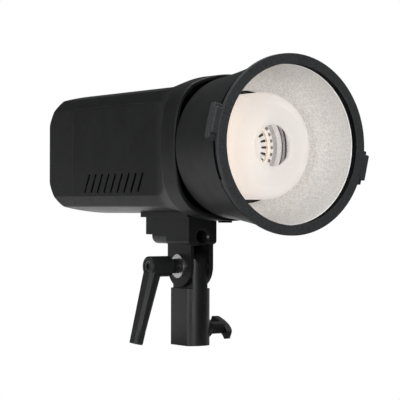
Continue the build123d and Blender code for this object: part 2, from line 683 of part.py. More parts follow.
def inner_reflector():
    """Bright dish around the board and flash tube."""
    back = LED_X
    outer = Spline(at(back - 1.0, 29.8), at(back + 0.2, 33.6), at(back + 5.0, 37.7), at(back + 13.0, 40.2))
    inner = Spline(at(back + 13.0, 39.2), at(back + 5.8, 36.7), at(back + 1.2, 33.0), at(back, 29.8))
    edges = [outer, Line(outer @ 1, inner @ 0), inner, Line(inner @ 1, outer @ 0)]
    dish = turned(edges)
    for angle in TUBE_LEG_ANGLES:
        y = TUBE_RING_R * cos(radians(angle))
        z = AXIS_Z + TUBE_RING_R * sin(radians(angle))
        dish = dish - rod_x(TUBE_R + 0.3, LED_X - 10, LED_X + 10, y, z)
    return dish


def dome():
    """Frosted cup with a rounded shoulder and a raised ring round its window."""
    shoulder = 10.0
    flat = DOME_SHOULDER_X
    r_in = DOME_R - DOME_WALL
    corner = flat - shoulder
    sweep_in = shoulder - DOME_WALL
    edges = [
        Line(at(DOME_BACK, r_in), at(DOME_BACK, DOME_R)),
        Line(at(DOME_BACK, DOME_R), at(corner, DOME_R)),
        ThreePointArc(at(corner, DOME_R), at(corner + shoulder * 0.7071, DOME_R - shoulder * 0.2929),
                      at(flat, DOME_R - shoulder)),
        Line(at(flat, DOME_R - shoulder), at(DOME_FRONT - 0.6, 20.6)),
        Line(at(DOME_FRONT - 0.6, 20.6), at(DOME_FRONT, 20.0)),
        Line(at(DOME_FRONT, 20.0), at(DOME_FRONT, WINDOW_R)),
        Line(at(DOME_FRONT, WINDOW_R), at(DOME_FRONT - 3.2, WINDOW_R)),
        Line(at(DOME_FRONT - 3.2, WINDOW_R), at(flat - DOME_WALL, DOME_R - shoulder)),
        ThreePointArc(at(flat - DOME_WALL, DOME_R - shoulder),
                      at(corner + sweep_in * 0.7071, r_in - sweep_in * 0.2929), at(corner, r_in)),
        Line(at(corner, r_in), at(DOME_BACK, r_in)),
    ]
    return turned(edges)


def dome_window():
    """Clear disc in the dome's centre."""
    return rod_x(WINDOW_R, DOME_FRONT - 2.8, DOME_FRONT - 1.3)


# Inside the housing ---------------------------------------------------------
def capacitors():
    """Three flash capacitors."""
    return Compound([rod_x(13.0, -118.0, -60.0, y=-10.4, z=AXIS_Z + dz) for dz in (-30.0, -3.0, 24.0)])


def power_board():
    """Upright circuit board with its small components."""
    board = block(-120.0, 6.0, -26.6, -25.0, AXIS_Z - 44, AXIS_Z + 42)
    for k in range(5):
        x = -48.0 + 11.0 * k
        board = board + block(x, x + 7.0, -25.0, -17.0, AXIS_Z - 38, AXIS_Z - 26)
    return board


def charging_transformer():
    """Ferrite-cored transformer on the power board."""
    core = block(-46.0, -16.0, -24.8, -2.0, AXIS_Z - 15, AXIS_Z + 15)
    winding = rod_y(13.0, -24.0, -3.0, x=-31.0, z=AXIS_Z)
    window = block(-41.0, -21.0, -30, 0, AXIS_Z - 20, AXIS_Z + 20) - winding
    return core - window + (winding & block(-46, -16, -24.5, -2.5, AXIS_Z - 13.5, AXIS_Z + 13.5))


def fan_frame():
    """Square frame of the cooling fan behind the vents, with a spoked motor mount and axle."""
    frame = block(FAN_X - 20, FAN_X + 20, -38.5, -28.5, FAN_Z - 20, FAN_Z + 20)
    frame = frame - rod_y(18.8, -45, -20, FAN_X, FAN_Z)
    for angle in (20, 110, 200, 290):
        frame = frame + Pos(FAN_X, -29.25, FAN_Z) * Rot(0, angle, 0) * Pos(13, 0, 0) * Box(14, 1.5, 2.2)
    return frame + rod_y(7.2, -30.0, -28.5, FAN_X, FAN_Z) + rod_y(1.0, -37.0, -30.0, FAN_X, FAN_Z)


def fan_rotor():
    """Hub with seven pitched blades."""
    rotor = rod_y(7.5, -37.8, -30.6, FAN_X, FAN_Z) - rod_y(1.0 + RUN, -37.2, -30, FAN_X, FAN_Z)
    for k in range(7):
        blade = Pos(12.3, 0, 0) * Rot(38, 0, 0) * Box(10.6, 0.9, 8.0)
        rotor = rotor + Pos(FAN_X, -34.2, FAN_Z) * Rot(0, 360 / 7 * k, 0) * blade
    return rotor & rod_y(18.2, -38.0, -30.6, FAN_X, FAN_Z)


def battery_bay():
    """Tray that the battery pack slides into."""
    x0, x1 = BATTERY_X
    gap = FREE
    wall = 1.8
    outer = block(x0 - gap - wall, x1 + gap + wall, 6.6, 39.6,
                  AXIS_Z - BATTERY_HALF - gap - wall, AXIS_Z + BATTERY_HALF + gap + wall)
    inner = block(x0 - gap, x1 + gap, 8.6, 50, AXIS_Z - BATTERY_HALF - gap, AXIS_Z + BATTERY_HALF + gap)
    return outer - inner


def battery_contacts():
    """Gold blades on the floor of the bay."""
    blades = []
    for k in range(5):
        z = AXIS_Z - 20 + 10 * k
        blades.append(block(-30.0, -22.0, 8.6, 16.0, z - 0.4, z + 0.4))
    return Compound(blades)


def battery_pack():
    """Slide-in battery with a ribbed grip and a release key's recess."""
    x0, x1 = BATTERY_X
    pack = block(x0, x1, BATTERY_Y[0], BATTERY_Y[1], AXIS_Z - BATTERY_HALF, AXIS_Z + BATTERY_HALF)
    pack = fillet(pack.edges().filter_by(Axis.Y), 3.0)
    for k in range(5):
        z = AXIS_Z - 20 + 10 * k
        pack = pack - block(-31.0, -21.0, 5.0, 16.6, z - 1.0, z + 1.0)
    for k in range(6):
        x = x0 + 9.0 + 4.0 * k
        pack = pack - block(x, x + 1.6, BATTERY_Y[1] - 1.0, 50, AXIS_Z - 26, AXIS_Z + 26)
    return pack - block(-17.4, -2.6, BATTERY_Y[1] - 6.0, 50, AXIS_Z - 8.4, AXIS_Z + 8.4)


def battery_latch():
    """Spring key that frees the battery."""
    key = block(-17.0, -3.0, BATTERY_Y[1] - 3.4, BATTERY_Y[1] - 0.2, AXIS_Z - 8.0, AXIS_Z + 8.0)
    for k in range(3):
        x = -13.5 + 3.0 * k
        key = key - block(x, x + 1.0, BATTERY_Y[1] - 0.8, 50, AXIS_Z - 5.5, AXIS_Z + 5.5)
    return key


# Rear controls --------------------------------------------------------------
def control_panel():
    """Recessed rear panel with holes for the display, dial and buttons."""
    plate = block(CONTROL_X, CONTROL_X + 1.6, -CONTROL_HALF_Y + 0.2, CONTROL_HALF_Y - 0.2,
                  AXIS_Z - CONTROL_HALF_Z + 0.2, AXIS_Z + CONTROL_HALF_Z - 0.2)
    plate = plate - block(CONTROL_X - 1, CONTROL_X + 5, -26.2, 26.2, AXIS_Z + 1.8, AXIS_Z + 29.2)
    plate = plate - rod_x(3.2, -180, -160, 0, DIAL_Z)
    for y, z in button_places():
        plate = plate - block(CONTROL_X - 1, CONTROL_X + 5, y - 5.7, y + 5.7, z - 3.7, z + 3.7)
    return plate


def button_places():
    """Centres (y, z) of the four rear buttons."""
    return [(y, z) for z in BUTTON_ROWS for y in (BUTTON_Y, -BUTTON_Y)]


def button(y, z):
    """Rectangular key with a flange behind the panel and a stem to its switch."""
    cap = block(CONTROL_X - 1.6, CONTROL_X + 2.0, y - 5.5, y + 5.5, z - 3.5, z + 3.5)
    cap = fillet(cap.edges().filter_by(Axis.X), 1.2)
    flange = block(CONTROL_X + 1.9, CONTROL_X + 2.6, y - 6.4, y + 6.4, z - 4.4, z + 4.4)
    return cap + flange + rod_x(1.5, CONTROL_X + 2.6, CONTROL_X + 5.0, y, z)


def display_window():
    """Clear cover of the display."""
    return block(CONTROL_X + 0.1, CONTROL_X + 1.6, -26.0, 26.0, AXIS_Z + 2.0, AXIS_Z + 29.0)


def display_module():
    """Display behind the window."""
    return block(CONTROL_X + 1.8, CONTROL_X + 5.2, -25.0, 25.0, AXIS_Z + 1.0, AXIS_Z + 29.4)


def control_board():
    """Board that carries the display and the button switches."""
    x = CONTROL_X + 8.2
    board = block(x, x + 1.6, -33.0, 33.0, AXIS_Z - 32, AXIS_Z + 31)
    for y, z in button_places():
        board = board + block(x - 1.6, x, y - 3, y + 3, z - 3, z + 3)
    return board


def dial_encoder():
    """Rotary encoder under the dial."""
    body = block(CONTROL_X + 2.0, CONTROL_X + 8.2, -6.5, 6.5, DIAL_Z - 6.5, DIAL_Z + 6.5)
    return body - rod_x(2.5 + RUN, -180, CONTROL_X + 7.0, 0, DIAL_Z)


def control_dial():
    """Knurled dial on its shaft."""
    knob = rod_x(DIAL_R, CONTROL_X - 8.5, CONTROL_X - 0.4, 0, DIAL_Z)
    knob = chamfer(knob.edges().filter_by(GeomType.CIRCLE).sort_by(Axis.X)[0], 0.8)
    for k in range(36):
        angle = radians(10 * k)
        y = 12.2 * cos(angle)
        knob = knob - rod_x(0.45, CONTROL_X - 8, CONTROL_X, y, DIAL_Z + 12.2 * sin(angle))
    knob = knob - rod_x(7.0, CONTROL_X - 9, CONTROL_X - 7.9, 0, DIAL_Z)
    return knob + rod_x(2.5, CONTROL_X - 1, CONTROL_X + 6.8, 0, DIAL_Z)


# Reflector ------------------------------------------------------------------
def reflector_barrel():
    """Black outer shell with its bayonet neck and the two lugs behind the grip tabs."""
    outer = ThreePointArc(at(BARREL_BACK, BARREL_BACK_R), at(105, 63.2), at(BARREL_FRONT, BARREL_FRONT_R))
    inner = ThreePointArc(at(130.0, 66.2), at(104, 61.2), at(BARREL_BACK + 2, BARREL_BACK_R - 1.9))
    edges = [
        outer,
        Polyline(outer @ 1, at(BARREL_FRONT, 66.7), at(130.0, 66.7), inner @ 0),
        inner,
        Polyline(inner @ 1, at(BARREL_BACK + 2, NECK_R - 2), at(50.4, NECK_R - 2), at(50.4, NECK_R),
                 at(BARREL_BACK, NECK_R), outer @ 0),
    ]
    body = turned(edges)
    for angle in LUG_ANGLES:
        body = body + lug_sector(52.5, 56.8, NECK_R - 0.5, 50.4, angle, LUG_WIDTH)
    return body


def barrel_grips():
    """Two rubber pads on the barrel's front edge, one behind each tab of the front ring."""
    barrel = reflector_barrel()
    ring_path = rod_x(BARREL_FRONT_R, BARREL_FRONT, RIM_X)
    ramp = turned(loop((GRIP_BACK, 60), (GRIP_BACK, BARREL_FRONT_R), (GRIP_BACK + 6, GRIP_R + 1),
                       (GRIP_FRONT, GRIP_R + 1), (GRIP_FRONT, 60)))
    pads = []
    for angle in (TAB_ANGLE, TAB_ANGLE + 180):
        pad = grip(GRIP_BACK, GRIP_FRONT, BARREL_FRONT_R - 1.5, GRIP_R, TAB_LENGTH + 7, angle)
        pads.append((pad & ramp) - barrel - ring_path)
    return Compound(pads)


def grip(x0, x1, inner, outer, length, angle):
    """Flat-topped tab that stands out from a ring at an angle about the optical axis."""
    tab = block(x0, x1, inner - 4, outer, AXIS_Z - length / 2, AXIS_Z + length / 2)
    tab = fillet(tab.edges().filter_by(Axis.X).group_by(Axis.Y)[-1], 1.0)
    tab = chamfer(tab.faces().sort_by(Axis.X)[-1].edges().sort_by(Axis.Y)[-1], 0.8)
    return around_axis(tab, angle) - rod_x(inner, x0 - 1, x1 + 1)


def bowl_edge(offset):
    """Curve of the bowl from its rear opening to its rim, moved outwards by offset."""
    slant = offset * 0.7
    return Spline(at(BOWL_BACK - slant, BOWL_BACK_R + slant), at(99.0 - 0.5 * offset, 55.3 + 0.85 * offset),
                  at(120.0 - 0.2 * offset, 61.0 + offset), at(BOWL_FRONT, BOWL_FRONT_R + offset))


def bowl():
    """Spun aluminium bowl, whole."""
    inner = bowl_edge(0.0)
    outer = bowl_edge(0.9)
    return turned([inner, Line(inner @ 1, outer @ 1), outer, Line(outer @ 0, inner @ 0)])


def reflector_liner():
    """Front part of the bowl, which spreads the light."""
    return bowl() - rod_x(80, 60, BOWL_JOINT)


def bowl_collar():
    """Rear part of the bowl, pressed on the barrel behind it."""
    return bowl() - rod_x(80, BOWL_JOINT, 160)


def front_ring():
    """Twist ring at the rim with two grip tabs and its bayonet segments."""
    profile = loop((131.5, 65.5), (131.5, 66.4), (144.3, 66.4), (144.3, 71.2),
                   (145.0, RIM_R), (147.6, RIM_R), (RIM_X, 71.6), (RIM_X, RIM_INNER_R), (145.0, RIM_INNER_R),
                   (145.0, 64.3), (141.9, 64.3), (141.9, 65.5))
    body = turned(profile)
    for angle in (TAB_ANGLE, TAB_ANGLE + 180):
        body = body + grip(TAB_BACK, 147.6, 69.0, TAB_R, TAB_LENGTH, angle)
        for turn, width in ((0, 24), (55, 34)):
            body = body + lug_sector(BARREL_FRONT + 0.3, BARREL_FRONT + 3.4, 66.0, 68.2, angle + turn, width)
    return body


# Files ----------------------------------------------------------------------
os.makedirs("parts", exist_ok=True)

save(
    stand_socket=stand_socket(),
    friction_discs=friction_discs(),
    thrust_pad=thrust_pad(),
    clamp_screw=clamp_screw(),
    clamp_wing=clamp_wing(),
    bracket_yoke=bracket_yoke(),
    base_screws=base_screws(),
    base_plate=base_plate(),
    umbrella_sleeve=umbrella_sleeve(),
    umbrella_pad=umbrella_pad(),
    umbrella_screw=umbrella_screw(),
    tilt_bolt=tilt_bolt(),
    thrust_washer=thrust_washer(),
    lever_insert=lever_insert(),
    lever_screw=lever_screw(),
    lever_spring=lever_spring(),
    lever_handle=lever_handle(),
)
save(
    main_housing=main_housing(),
    side_panel=side_panel(),
    rear_cover=rear_cover(),
    housing_screws=housing_screws(),
    port_block=port_block(),
    port_flap=port_flap(),
    chassis=chassis(),
    mount_ring=mount_ring(),
    mount_screws=mount_screws(),
    mount_release=mount_release(),
)
save(
    lamp_base=lamp_base(),
    heat_sink=heat_sink(),
    led_board=led_board(),
    led_chips=led_chips(),
    centre_lens=centre_lens(),
    flash_tube=flash_tube(),
    inner_reflector=inner_reflector(),
    dome=dome(),
    dome_window=dome_window(),
)
save(
    capacitors=capacitors(),
    power_board=power_board(),
    charging_transformer=charging_transformer(),
    fan_frame=fan_frame(),
    fan_rotor=fan_rotor(),
    battery_bay=battery_bay(),
    battery_contacts=battery_contacts(),
    battery_pack=battery_pack(),
    battery_latch=battery_latch(),
)
save(
    control_panel=control_panel(),
    display_window=display_window(),
    display_module=display_module(),
    control_board=control_board(),
    dial_encoder=dial_encoder(),
    control_dial=control_dial(),
)
for name, place in zip(("mode_button", "menu_button", "test_button", "power_button"), button_places()):
    save(**{name: button(*place)})
save(
    reflector_barrel=reflector_barrel(),
    barrel_grips=barrel_grips(),
    bowl_collar=bowl_collar(),
    reflector_liner=reflector_liner(),
    front_ring=front_ring(),
)
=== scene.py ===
import bpy
import json
from math import cos, pi, radians, sin
from mathutils import Matrix, Vector


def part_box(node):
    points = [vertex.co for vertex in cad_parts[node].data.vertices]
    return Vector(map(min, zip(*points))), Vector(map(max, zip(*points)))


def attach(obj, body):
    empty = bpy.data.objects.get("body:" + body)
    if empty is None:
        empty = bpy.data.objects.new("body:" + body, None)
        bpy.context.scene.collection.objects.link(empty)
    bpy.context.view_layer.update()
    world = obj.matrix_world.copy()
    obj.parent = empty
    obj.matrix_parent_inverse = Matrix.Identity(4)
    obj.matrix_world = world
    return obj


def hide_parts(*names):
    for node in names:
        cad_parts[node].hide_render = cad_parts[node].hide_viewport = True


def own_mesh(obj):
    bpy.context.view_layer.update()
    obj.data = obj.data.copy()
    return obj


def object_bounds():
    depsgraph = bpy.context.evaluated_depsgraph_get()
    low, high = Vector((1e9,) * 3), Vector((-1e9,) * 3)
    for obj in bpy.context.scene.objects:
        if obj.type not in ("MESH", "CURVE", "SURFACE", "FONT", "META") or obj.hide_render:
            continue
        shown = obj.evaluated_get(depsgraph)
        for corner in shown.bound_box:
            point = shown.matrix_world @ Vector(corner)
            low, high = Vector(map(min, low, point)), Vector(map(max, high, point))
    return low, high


# Looks of a battery monolight strobe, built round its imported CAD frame. Metres throughout.

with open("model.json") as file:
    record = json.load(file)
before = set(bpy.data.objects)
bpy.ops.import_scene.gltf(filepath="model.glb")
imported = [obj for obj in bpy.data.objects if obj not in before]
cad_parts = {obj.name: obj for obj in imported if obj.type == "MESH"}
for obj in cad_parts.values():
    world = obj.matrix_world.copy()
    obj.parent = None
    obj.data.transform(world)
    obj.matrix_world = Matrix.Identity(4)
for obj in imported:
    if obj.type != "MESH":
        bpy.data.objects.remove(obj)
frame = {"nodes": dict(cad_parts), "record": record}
cad_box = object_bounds()
NODES = frame["nodes"]
MM = 0.001


# Places taken from the frame ---------------------------------------------------
def middle(node):
    """Centre of a CAD node's box."""
    low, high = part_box(node)
    return (low + high) / 2


AXIS_Z = middle("dome").z  # height of the optical axis
BOWL_LOW, BOWL_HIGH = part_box("reflector_liner")
BOWL_FRONT = BOWL_HIGH.x
BOWL_RADIUS = (BOWL_HIGH.y - BOWL_LOW.y) / 2
DOME_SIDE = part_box("dome")[0].y  # the dome's -Y side
FLOOR_Z = cad_box[0][2]


# Node helpers ------------------------------------------------------------------
class Shader:
    """A node material around one Principled shader."""

    def __init__(self, name, **inputs):
        self.material = bpy.data.materials.new(name)
        self.material.use_nodes = True
        self.tree = self.material.node_tree
        self.main = self.tree.nodes["Principled BSDF"]
        self.place = self.add("ShaderNodeTexCoord").outputs["Object"]
        for key, value in inputs.items():
            self.main.inputs[key.replace("_", " ")].default_value = value

    def add(self, kind, **settings):
        """New node with its settings."""
        node = self.tree.nodes.new(kind)
        for key, value in settings.items():
            setattr(node, key, value)
        return node

    def link(self, source, target):
        self.tree.links.new(source, target)

    def feed(self, node, **values):
        """Sets or links inputs by label, with spaces written as underscores."""
        for key, value in values.items():
            socket = node.inputs[key.replace("_", " ")]
            if isinstance(value, bpy.types.NodeSocket):
                self.link(value, socket)
            else:
                socket.default_value = value
        return node

    def noise(self, size, detail=3.0, roughness=0.55):
        """Noise with features of that size in metres."""
        node = self.feed(self.add("ShaderNodeTexNoise"), Scale=1.0 / size, Detail=detail, Roughness=roughness)
        self.link(self.place, node.inputs["Vector"])
        return node.outputs["Fac"]

    def cells(self, size, feature="F1", output="Distance"):
        """Voronoi cells of that size in metres."""
        node = self.feed(self.add("ShaderNodeTexVoronoi", feature=feature), Scale=1.0 / size)
        self.link(self.place, node.inputs["Vector"])
        return node.outputs[output]

    def along_axis(self, letter):
        """Place along X, Y or Z in metres."""
        axes = self.add("ShaderNodeSeparateXYZ")
        self.link(self.place, axes.inputs["Vector"])
        return axes.outputs[letter]

    def remap(self, value, low, high, to_low=0.0, to_high=1.0):
        """Value carried from one range to another, and kept inside it."""
        node = self.add("ShaderNodeMapRange")
        self.feed(node, Value=value)
        for key, number in (("From Min", low), ("From Max", high), ("To Min", to_low), ("To Max", to_high)):
            node.inputs[key].default_value = number
        return node.outputs["Result"]

    def math(self, operation, first, second):
        """Sum or product of two values, each a socket or a number."""
        node = self.add("ShaderNodeMath", operation=operation)
        for socket, value in zip(node.inputs, (first, second)):
            if isinstance(value, bpy.types.NodeSocket):
                self.link(value, socket)
            else:
                socket.default_value = value
        return node.outputs[0]

    def mix(self, factor, first, second):
        """Colour between two colours, each a socket or a tuple."""
        node = self.add("ShaderNodeMix", data_type="RGBA")
        for index, value in ((0, factor), (6, first), (7, second)):
            if isinstance(value, bpy.types.NodeSocket):
                self.link(value, node.inputs[index])
            else:
                node.inputs[index].default_value = value if index == 0 else (*value[:3], 1.0)
        return node.outputs[2]

    def soft_edges(self, radius):
        """Normal that rounds edges off over that radius."""
        node = self.add("ShaderNodeBevel", samples=4)
        node.inputs["Radius"].default_value = radius
        return node.outputs["Normal"]

    def edge_mask(self, rounded, reach=0.12):
        """1 on edges and 0 on flats, from a rounded normal."""
        node = self.add("ShaderNodeVectorMath", operation="DOT_PRODUCT")
        self.link(rounded, node.inputs[0])
        self.link(self.add("ShaderNodeNewGeometry").outputs["Normal"], node.inputs[1])
        return self.remap(node.outputs["Value"], 1.0, 1.0 - reach)

    def bump(self, height, depth, normal=None):
        """Normal from a height of 0 to 1 that stands for that depth in metres."""
        node = self.feed(self.add("ShaderNodeBump"), Strength=1.0, Distance=depth, Height=height)
        if normal is not None:
            self.link(normal, node.inputs["Normal"])
        return node.outputs["Normal"]

    def finish(self, **values):
        """Links or sets the Principled shader's inputs and gives the material."""
        self.feed(self.main, **values)
        return self.material


def grey(value, warmth=0.0):
    """Linear grey, a little warmer or cooler."""
    return (value * (1 + warmth), value, value * (1 - warmth), 1.0)


def moulded(name, tone, roughness, grain, depth, edge=0.5 * MM, warmth=-0.04, wear_and_highlight=0.35, shine=0.3,
            speckle=0.35):
    """Moulded or coated dark surface: fine grain, slow unevenness and lighter edges, partly wear and partly a
    painted edge highlight.

    tone is its grey, grain and depth the size and height of its texture, edge the rounding of its edges.
    """
    shader = Shader(name, Specular_IOR_Level=shine)
    rounded = shader.soft_edges(edge)
    worn_and_highlit_edge = shader.edge_mask(rounded)
    slow = shader.noise(18 * MM, 4.0)
    fine = shader.noise(grain, 3.0, 0.6)
    pits = shader.cells(grain * 1.7)
    base = shader.mix(shader.remap(slow, 0.35, 0.65), grey(tone * 0.9, warmth), grey(tone * 1.12, warmth))
    speckled = shader.mix(shader.remap(fine, 0.4, 0.75, 0.0, speckle), base, grey(tone * 1.7, warmth))
    # Lighter edges: partly wear, partly a painted edge highlight.
    colour = shader.mix(shader.math("MULTIPLY", worn_and_highlit_edge, wear_and_highlight), speckled, grey(tone * 6.0, warmth))
    height = shader.math("ADD", shader.math("MULTIPLY", fine, 0.6), shader.math("MULTIPLY", pits, 0.4))
    return shader.finish(
        Base_Color=colour,
        Roughness=shader.remap(slow, 0.3, 0.7, roughness - 0.04, roughness + 0.05),
        Normal=shader.bump(height, depth, rounded),
    )


def metal(name, colour, roughness):
    """Bare metal with fine marks and brighter edges."""
    shader = Shader(name, Metallic=1.0)
    rounded = shader.soft_edges(0.3 * MM)
    marks = shader.noise(0.4 * MM, 5.0, 0.65)
    tint = shader.mix(shader.remap(marks, 0.3, 0.7), [c * 0.82 for c in colour], colour)
    return shader.finish(
        Base_Color=tint,
        Roughness=shader.remap(marks, 0.3, 0.7, roughness - 0.06, roughness + 0.08),
        Normal=shader.bump(marks, 0.01 * MM, rounded),
    )


# Materials ---------------------------------------------------------------------
def spun_aluminium():
    """Satin silver bowl with hammered grain; a painted glint makes its facets brighter and more varied at the
    back than at the front.
    """
    shader = Shader("spun_aluminium", Metallic=0.55)
    facets = shader.add("ShaderNodeSeparateColor")
    shader.link(shader.cells(0.75 * MM, output="Color"), facets.inputs["Color"])
    dents = shader.cells(0.9 * MM, feature="SMOOTH_F1")
    grain = shader.noise(0.5 * MM, 2.0)
    height = shader.math("ADD", dents, shader.math("MULTIPLY", grain, 0.5))
    # Painted glint: the facets at the back get brighter, more varied colours than those at the front.
    painted_glint = shader.mix(facets.outputs["Red"], (0.70, 0.70, 0.69), (1.0, 1.0, 0.99))
    dull = shader.mix(facets.outputs["Blue"], (0.74, 0.74, 0.73), (0.96, 0.96, 0.94))
    painted_glint_fade = shader.remap(shader.along_axis("X"), BOWL_FRONT - 22 * MM, BOWL_FRONT)
    return shader.finish(
        Base_Color=shader.mix(painted_glint_fade, painted_glint, dull),
        Roughness=shader.remap(facets.outputs["Green"], 0.0, 1.0, 0.30, 0.46),
        Normal=shader.bump(height, 0.2 * MM),
    )


def frosted_glass():
    """Frosted diffuser that scatters light through its wall, with a faint painted glow that is warmer and
    stronger towards its -Y side.
    """
    shader = Shader("frosted_glass", Roughness=0.42, IOR=1.45)
    painted_warm_side = shader.remap(shader.along_axis("Y"), 0.0, DOME_SIDE)
    haze = shader.noise(0.25 * MM, 3.0)
    cloud = shader.noise(25 * MM, 2.0)
    shader.main.inputs["Transmission Weight"].default_value = 0.35
    shader.main.inputs["Subsurface Weight"].default_value = 0.5
    shader.main.inputs["Subsurface Radius"].default_value = (0.006, 0.005, 0.0045)
    shader.main.inputs["Subsurface Scale"].default_value = 1.0
    return shader.finish(
        Base_Color=shader.mix(shader.remap(cloud, 0.3, 0.7), (0.90, 0.86, 0.84), (0.95, 0.92, 0.90)),
        # Painted light: the glow, and its warmer, stronger -Y side.
        Emission_Color=shader.mix(painted_warm_side, (1.0, 0.96, 0.92), (1.0, 0.84, 0.70)),
        Emission_Strength=shader.remap(painted_warm_side, 0.0, 1.0, 0.19, 0.30),
        Normal=shader.bump(haze, 0.02 * MM),
    )


def clear_glass():
    """Clear glass with a little dust."""
    shader = Shader("clear_glass", Roughness=0.03, IOR=1.45)
    shader.main.inputs["Transmission Weight"].default_value = 1.0
    dust = shader.noise(3 * MM, 4.0)
    return shader.finish(
        Base_Color=(0.97, 0.97, 0.98, 1.0),
        Roughness=shader.remap(dust, 0.4, 0.7, 0.02, 0.08),
    )


def screen_glass():
    """Black display glass with smears."""
    shader = Shader("screen_glass", IOR=1.5)
    smear = shader.noise(9 * MM, 4.0)
    return shader.finish(
        Base_Color=(0.006, 0.007, 0.009, 1.0),
        Roughness=shader.remap(smear, 0.35, 0.7, 0.05, 0.13),
        Normal=shader.soft_edges(0.3 * MM),
    )


def circuit_board():
    """Green solder mask with copper tracks showing through."""
    shader = Shader("circuit_board", Roughness=0.35)
    tracks = shader.add("ShaderNodeTexBrick", offset=0.37)
    shader.feed(tracks, Vector=shader.place, Scale=220.0, Mortar_Size=0.06)
    return shader.finish(
        Base_Color=shader.mix(tracks.outputs["Fac"], (0.015, 0.09, 0.045), (0.03, 0.17, 0.07)),
        Normal=shader.bump(tracks.outputs["Fac"], 0.04 * MM),
    )


def soft_white(name, colour, roughness, size=2 * MM, painted_glow=0.0):
    """Pale moulding or ceramic with faint mottling, and an optional faint glow that is painted light."""
    # Emission here is painted glow for light the surface catches.
    shader = Shader(name, Emission_Color=(*colour, 1.0), Emission_Strength=painted_glow)
    mottle = shader.noise(size, 4.0)
    return shader.finish(
        Base_Color=shader.mix(shader.remap(mottle, 0.35, 0.65), [c * 0.93 for c in colour], colour),
        Roughness=shader.remap(mottle, 0.3, 0.7, roughness - 0.05, roughness + 0.05),
        Normal=shader.bump(shader.noise(0.2 * MM), 0.01 * MM, shader.soft_edges(0.3 * MM)),
    )


# The record's material slots, and two more for pieces made here: a glowing white that paints a highlight, and
# a near-black that paints shade.
finishes = {
    "housing_plastic": moulded("housing_plastic", 0.0085, 0.48, 0.25 * MM, 0.035 * MM, 0.9 * MM),
    "panel_plastic": moulded("panel_plastic", 0.007, 0.42, 0.18 * MM, 0.010 * MM, 0.6 * MM),
    "bracket_metal": moulded("bracket_metal", 0.009, 0.48, 0.30 * MM, 0.04 * MM, 0.5 * MM, wear_and_highlight=0.8),
    "socket_metal": moulded("socket_metal", 0.008, 0.36, 0.30 * MM, 0.03 * MM, wear_and_highlight=0.8, shine=0.45),
    "lever_metal": moulded("lever_metal", 0.016, 0.42, 0.30 * MM, 0.04 * MM, 0.5 * MM, wear_and_highlight=0.6),
    "reflector_plastic": moulded("reflector_plastic", 0.010, 0.55, 0.35 * MM, 0.05 * MM, 0.5 * MM),
    "rim_plastic": moulded("rim_plastic", 0.034, 0.55, 0.9 * MM, 0.3 * MM, 0.5 * MM, wear_and_highlight=0.2, speckle=2.2),
    "button_plastic": moulded("button_plastic", 0.008, 0.5, 0.25 * MM, 0.02 * MM, 0.5 * MM),
    "component_dark": moulded("component_dark", 0.02, 0.35, 0.3 * MM, 0.02 * MM),
    "capacitor_sleeve": moulded("capacitor_sleeve", 0.015, 0.3, 1.0 * MM, 0.02 * MM, warmth=-0.5),
    "rubber": moulded("rubber", 0.01, 0.75, 0.2 * MM, 0.02 * MM, 0.4 * MM),
    "fibre": moulded("fibre", 0.05, 0.85, 0.4 * MM, 0.1 * MM, warmth=0.3),
    "black_steel": moulded("black_steel", 0.012, 0.32, 0.4 * MM, 0.01 * MM, 0.3 * MM, wear_and_highlight=0.6),
    "bright_steel": metal("bright_steel", (0.78, 0.78, 0.80), 0.28),
    "brass": metal("brass", (0.80, 0.62, 0.33), 0.3),
    "gold": metal("gold", (0.95, 0.73, 0.36), 0.22),
    "chrome": metal("chrome", (0.90, 0.90, 0.92), 0.12),
    "raw_aluminium": metal("raw_aluminium", (0.68, 0.68, 0.70), 0.4),
    # Painted highlight: this white glows faintly, for the light the bowl's rolled edge catches.
    "painted_highlight_edge": soft_white("painted_highlight_edge", (0.95, 0.95, 0.95), 0.3, painted_glow=0.25),
    # Painted shade: near-black for the dark gap inside the front ring.
    "painted_shade_black": moulded("painted_shade_black", 0.002, 0.8, 0.3 * MM, 0.02 * MM, shine=0.1),
    "spun_aluminium": spun_aluminium(),
    "frosted_glass": frosted_glass(),
    "clear_glass": clear_glass(),
    "screen_glass": screen_glass(),
    "circuit_board": circuit_board(),
    "lamp_white": soft_white("lamp_white", (0.88, 0.86, 0.82), 0.45),
    "led_yellow": soft_white("led_yellow", (0.30, 0.28, 0.22), 0.3, 0.6 * MM),
}

# These nodes glow faintly: painted glow for the light they catch.
painted_lamp_glow = soft_white("painted_lamp_glow", (0.95, 0.93, 0.90), 0.4, painted_glow=0.30)
painted_tube_glow = soft_white("painted_tube_glow", (0.86, 0.85, 0.87), 0.25, painted_glow=0.12)
glowing = {"led_board": painted_lamp_glow, "centre_lens": painted_lamp_glow, "flash_tube": painted_tube_glow}

for part in frame["record"]["subparts"]:
    node = NODES[part["node"]]
    node.data.materials.clear()
    node.data.materials.append(glowing.get(part["node"], finishes[part["material_slot"]]))


# Details that the CAD leaves out -------------------------------------------------
def along(axis, centre):
    """Matrix that carries local Z to an axis and the origin to a centre."""
    return Matrix.Translation(centre) @ Vector(axis).to_track_quat("Z", "Y").to_matrix().to_4x4()


def on_lamp_axis(x):
    """Matrix that carries local Z to the optical axis and the origin to x on it."""
    return along((1, 0, 0), (x, 0.0, AXIS_Z))


def add_piece(name, vertices, faces, material, body, smooth=True):
    """Mesh piece that moves with a body."""
    mesh = bpy.data.meshes.new(name)
    mesh.from_pydata(vertices, [], faces)
    mesh.materials.append(material)
    mesh.polygons.foreach_set("use_smooth", [smooth] * len(faces))
    mesh.update()
    item = bpy.data.objects.new(name, mesh)
    bpy.context.scene.collection.objects.link(item)
    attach(item, body)


